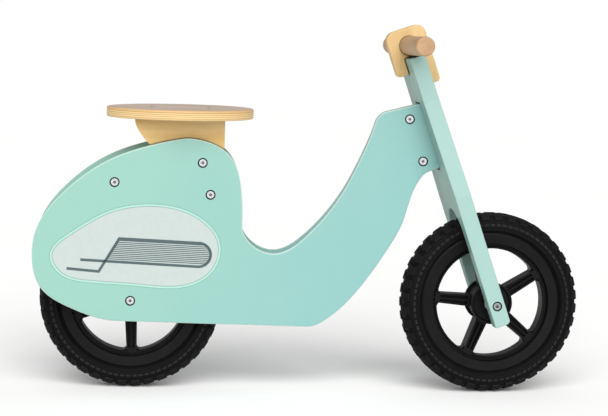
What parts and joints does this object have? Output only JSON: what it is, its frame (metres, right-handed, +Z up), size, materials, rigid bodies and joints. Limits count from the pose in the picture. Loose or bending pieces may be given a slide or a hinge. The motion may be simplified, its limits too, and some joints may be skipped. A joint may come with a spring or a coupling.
{
  "type": "balance bike",
  "caption": "Child's wooden balance bike: scooter-shaped plywood body panels, oval seat, slotted steering fork with a round bar, and foam-tyred wheels.",
  "frame": {"origin": "on the ground, half way between the axles, in the middle plane of the body; within 4 mm of the middle of the bike's length", "axes": "+X forward, +Y to the rider's left, +Z up; the rest pose has the front end turned 5 degrees to the left"},
  "size_m": [0.8171, 0.257, 0.5489],
  "materials": {
    "mint_paint": "satin water-based paint on birch plywood",
    "printed_film": "satin printed film",
    "birch_plywood": "clear matt lacquer",
    "beech": "clear matt lacquer",
    "beech_bar": "clear matt lacquer",
    "zinc_steel": "bright zinc plate",
    "bright_steel": "drawn tube",
    "black_nylon": "moulded, fine texture",
    "grey_nylon": "moulded",
    "white_nylon": "moulded",
    "black_plastic": "moulded polypropylene, satin",
    "foam_tyre": "moulded foam, matt"
  },
  "bodies": {
    "frame": {"side_panel_right": "mint_paint", "side_panel_left": "mint_paint", "decal_right": "printed_film", "decal_left": "printed_film", "seat_board": "birch_plywood", "seat_screws": "zinc_steel", "seat_support": "beech", "rear_cross_dowel": "beech", "body_bolts": "zinc_steel", "body_sleeve_nuts": "zinc_steel", "rear_axle_bolt": "zinc_steel", "rear_axle_nut": "zinc_steel", "rear_axle_spacers": "black_nylon", "head_tube": "bright_steel"},
    "fork": {"fork_board": "mint_paint", "front_axle_bolt": "zinc_steel", "front_axle_nut": "zinc_steel", "front_axle_spacers": "black_nylon", "steering_bolt": "zinc_steel", "steering_barrel_nut": "zinc_steel", "steering_washers": "white_nylon", "handlebar_yoke": "beech", "handlebar": "beech_bar", "yoke_screws": "zinc_steel"},
    "rear_wheel": {"rear_rim": "black_plastic", "rear_tyre": "foam_tyre", "rear_hub_bushes": "grey_nylon"},
    "front_wheel": {"front_rim": "black_plastic", "front_tyre": "foam_tyre", "front_hub_bushes": "grey_nylon"}
  },
  "joints": [
    {"name": "steering", "type": "hinge", "parent": "frame", "child": "fork", "pos_m": [0.269, 0, 0.135], "axis": [-0.3305, 0, 0.9438], "range_deg": [-29, 19]},
    {"name": "front_wheel_spin", "type": "hinge", "parent": "fork", "child": "front_wheel", "pos_m": [0.269, 0, 0.135], "axis": [-0.0823, 0.9962, -0.0288], "continuous": true},
    {"name": "rear_wheel_spin", "type": "hinge", "parent": "frame", "child": "rear_wheel", "pos_m": [-0.269, 0, 0.135], "axis": [0, 1, 0], "continuous": true}
  ]
}
